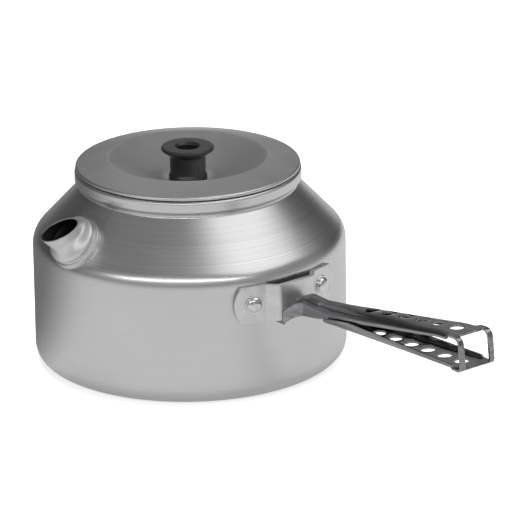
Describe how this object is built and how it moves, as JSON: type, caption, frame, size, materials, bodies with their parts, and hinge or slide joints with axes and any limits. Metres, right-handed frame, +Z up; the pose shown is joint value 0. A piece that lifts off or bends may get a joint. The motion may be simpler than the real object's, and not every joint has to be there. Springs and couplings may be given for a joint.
{
  "type": "camping kettle",
  "caption": "Low round camping kettle with a conical shoulder, short flared spout, dished lid with a spool knob, and a long perforated hook-on handle.",
  "frame": {"origin": "centre of the flat base, on the kettle's axis", "axes": "+Z up along the kettle's axis, +X towards the handle, -Y towards the spout"},
  "size_m": [0.2742, 0.1564, 0.1009],
  "materials": {
    "spun_aluminium": "satin, spun",
    "pressed_aluminium": "satin",
    "bracket_aluminium": "satin, bright sheared edges",
    "rivet_aluminium": "polished",
    "lid_aluminium": "satin, pressed",
    "stamped_stainless": "polished stainless sheet",
    "black_plastic": "semi-gloss moulded",
    "zinc_steel": "zinc plated"
  },
  "bodies": {
    "kettle": {"kettle_body": "spun_aluminium", "spout": "pressed_aluminium", "handle_bracket": "bracket_aluminium", "rivet_left": "rivet_aluminium", "rivet_right": "rivet_aluminium"},
    "handle": {"handle": "stamped_stainless"},
    "lid": {"lid": "lid_aluminium", "lid_knob": "black_plastic", "knob_screw": "zinc_steel", "knob_washer": "zinc_steel", "knob_nut": "zinc_steel"}
  },
  "joints": [
    {"name": "handle_slide", "type": "slide", "parent": "kettle", "child": "handle", "axis": [0, 0, -1], "range_m": [0, 0.0125]},
    {"name": "lid_lift", "type": "slide", "parent": "kettle", "child": "lid", "axis": [0, 0, 1], "range_m": [0, 0.035]}
  ]
}
